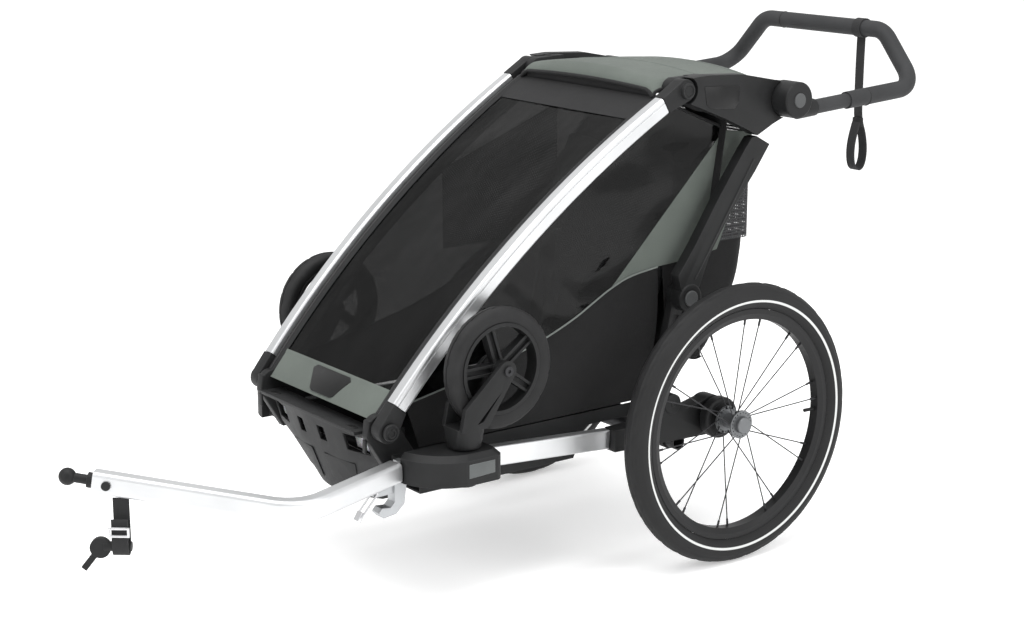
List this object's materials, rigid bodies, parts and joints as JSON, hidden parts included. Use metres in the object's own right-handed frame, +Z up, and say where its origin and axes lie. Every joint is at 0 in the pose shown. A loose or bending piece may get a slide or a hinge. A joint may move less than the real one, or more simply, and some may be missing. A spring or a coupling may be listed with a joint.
{
  "type": "child bicycle trailer",
  "caption": "Folding child bicycle trailer with curved windscreen pillars, a push handle, a bent hitch arm, spoked wheels and stowed stroller wheels.",
  "frame": {"origin": "on the ground, under the middle of the trailer's overall length and width", "axes": "+Z up, -Y towards the bicycle, +X the child's left, where the hitch arm is"},
  "size_m": [0.65, 1.6456, 0.911],
  "materials": {
    "tyre_rubber": "matt black tyre rubber with a pale reflective line",
    "black_rim": "satin black paint",
    "grey_alloy": "cast grey alloy",
    "dark_steel": "black coated steel",
    "bright_steel": "plain steel",
    "black_plastic": "fine-grained black plastic",
    "grey_plastic": "grey plastic",
    "dark_grey_plastic": "grained dark grey plastic",
    "silver_aluminium": "satin anodised aluminium",
    "smoked_film": "smoked clear film",
    "green_fabric": "grey-green coated weave",
    "black_fabric": "black coated weave",
    "black_webbing": "black woven webbing",
    "foam_grip": "closed-cell foam",
    "reflector": "pale reflective plastic"
  },
  "bodies": {
    "chassis": {"side_rails": "silver_aluminium", "front_lugs": "black_plastic", "cross_tubes": "dark_steel", "hip_brackets": "black_plastic", "hub_carriers": "black_plastic", "brake_drums": "black_plastic", "brake_mount": "black_plastic", "bumper": "dark_grey_plastic", "front_reflectors": "reflector", "floor_pan": "black_plastic", "wings": "black_plastic", "seat_cushion": "black_fabric", "seat_back": "black_fabric", "harness": "black_webbing", "side_windows": "smoked_film", "side_skirts": "black_fabric", "hitch_arm": "silver_aluminium", "hitch_ball": "black_plastic", "receiver": "grey_alloy", "safety_strap": "black_webbing", "hitch_pin": "black_plastic"},
    "wheel_left": {"tyre_left": "tyre_rubber", "rim_left": "black_rim", "spokes_left": "dark_steel", "hub_left": "grey_alloy"},
    "wheel_right": {"tyre_right": "tyre_rubber", "rim_right": "black_rim", "spokes_right": "dark_steel", "hub_right": "grey_alloy"},
    "links": {"knee_links": "black_plastic"},
    "pillars": {"pillars": "silver_aluminium", "pillar_ends": "black_plastic", "roof_bow": "dark_steel", "front_window": "smoked_film", "front_hem": "green_fabric"},
    "upper": {"top_plates": "black_plastic", "rear_uprights": "black_plastic", "rear_bar": "dark_steel", "roof_fabric": "green_fabric", "rear_bag": "black_fabric"},
    "handle": {"handle_tube": "silver_aluminium", "handle_grip": "foam_grip", "handle_hubs": "black_plastic", "wrist_strap": "black_webbing"},
    "handle_button_left": {"handle_button_left": "grey_plastic"},
    "handle_button_right": {"handle_button_right": "grey_plastic"},
    "knee_button_left": {"knee_button_left": "grey_plastic"},
    "knee_button_right": {"knee_button_right": "grey_plastic"},
    "wing_button_left": {"wing_button_left": "grey_plastic"},
    "wing_button_right": {"wing_button_right": "grey_plastic"},
    "caster_left": {"caster_fork_left": "black_plastic", "caster_bolt_left": "bright_steel"},
    "caster_right": {"caster_fork_right": "black_plastic", "caster_bolt_right": "bright_steel"},
    "caster_wheel_left": {"caster_tyre_left": "tyre_rubber", "caster_rim_left": "black_plastic"},
    "caster_wheel_right": {"caster_tyre_right": "tyre_rubber", "caster_rim_right": "black_plastic"},
    "brake_pedal": {"brake_pedal": "black_plastic"},
    "lock_clip": {"lock_clip": "bright_steel"}
  },
  "joints": [
    {"name": "fold", "type": "hinge", "parent": "chassis", "child": "links", "pos_m": [0, 0.235, 0.285], "axis": [-1, 0, 0], "range_deg": [0, 114.1], "deforming": ["side_windows", "side_skirts", "seat_back", "harness"]},
    {"name": "pillar_fold", "type": "hinge", "parent": "chassis", "child": "pillars", "pos_m": [0, -0.333, 0.332], "axis": [-1, 0, 0], "range_deg": [0, 24.91]},
    {"name": "upright_fold", "type": "hinge", "parent": "links", "child": "upper", "pos_m": [0, 0.277, 0.467], "axis": [-1, 0, 0], "range_deg": [-106.68, 0]},
    {"name": "handle_tilt", "type": "hinge", "parent": "upper", "child": "handle", "pos_m": [0, 0.487, 0.798], "axis": [1, 0, 0], "range_deg": [-40, 140]},
    {"name": "wheel_left_spin", "type": "hinge", "parent": "chassis", "child": "wheel_left", "pos_m": [0.3015, 0.327, 0.25], "axis": [1, 0, 0], "continuous": true},
    {"name": "wheel_right_spin", "type": "hinge", "parent": "chassis", "child": "wheel_right", "pos_m": [-0.3015, 0.327, 0.25], "axis": [1, 0, 0], "continuous": true},
    {"name": "handle_button_left_press", "type": "slide", "parent": "handle", "child": "handle_button_left", "axis": [-1, 0, 0], "range_m": [0, 0.003], "stiffness_N_per_m": 600},
    {"name": "knee_button_left_press", "type": "slide", "parent": "upper", "child": "knee_button_left", "axis": [-1, 0, 0], "range_m": [0, 0.0025], "stiffness_N_per_m": 600},
    {"name": "wing_button_left_press", "type": "slide", "parent": "chassis", "child": "wing_button_left", "axis": [0, -1, 0], "range_m": [0, 0.003], "stiffness_N_per_m": 600},
    {"name": "stroller_wheel_left_lift", "type": "slide", "parent": "chassis", "child": "caster_left", "axis": [0, 0, 1], "range_m": [0, 0.06]},
    {"name": "stroller_wheel_left_spin", "type": "hinge", "parent": "caster_left", "child": "caster_wheel_left", "pos_m": [0.2575, -0.159, 0.421], "axis": [1, 0, 0], "continuous": true},
    {"name": "handle_button_right_press", "type": "slide", "parent": "handle", "child": "handle_button_right", "axis": [1, 0, 0], "range_m": [0, 0.003], "stiffness_N_per_m": 600},
    {"name": "knee_button_right_press", "type": "slide", "parent": "upper", "child": "knee_button_right", "axis": [1, 0, 0], "range_m": [0, 0.0025], "stiffness_N_per_m": 600},
    {"name": "wing_button_right_press", "type": "slide", "parent": "chassis", "child": "wing_button_right", "axis": [0, -1, 0], "range_m": [0, 0.003], "stiffness_N_per_m": 600},
    {"name": "stroller_wheel_right_lift", "type": "slide", "parent": "chassis", "child": "caster_right", "axis": [0, 0, 1], "range_m": [0, 0.06]},
    {"name": "stroller_wheel_right_spin", "type": "hinge", "parent": "caster_right", "child": "caster_wheel_right", "pos_m": [-0.2575, -0.159, 0.421], "axis": [1, 0, 0], "continuous": true},
    {"name": "brake_pedal_press", "type": "hinge", "parent": "chassis", "child": "brake_pedal", "pos_m": [0.15, 0.307, 0.197], "axis": [1, 0, 0], "range_deg": [-20, 0]},
    {"name": "lock_clip_swing", "type": "hinge", "parent": "chassis", "child": "lock_clip", "pos_m": [0.21, -0.365, 0.238], "axis": [1, 0, 0], "range_deg": [-40, 0]}
  ],
  "couplings": [
    {"joint": "pillar_fold", "follows": "fold", "ratio": 0.21823},
    {"joint": "upright_fold", "follows": "fold", "ratio": -0.93488}
  ]
}
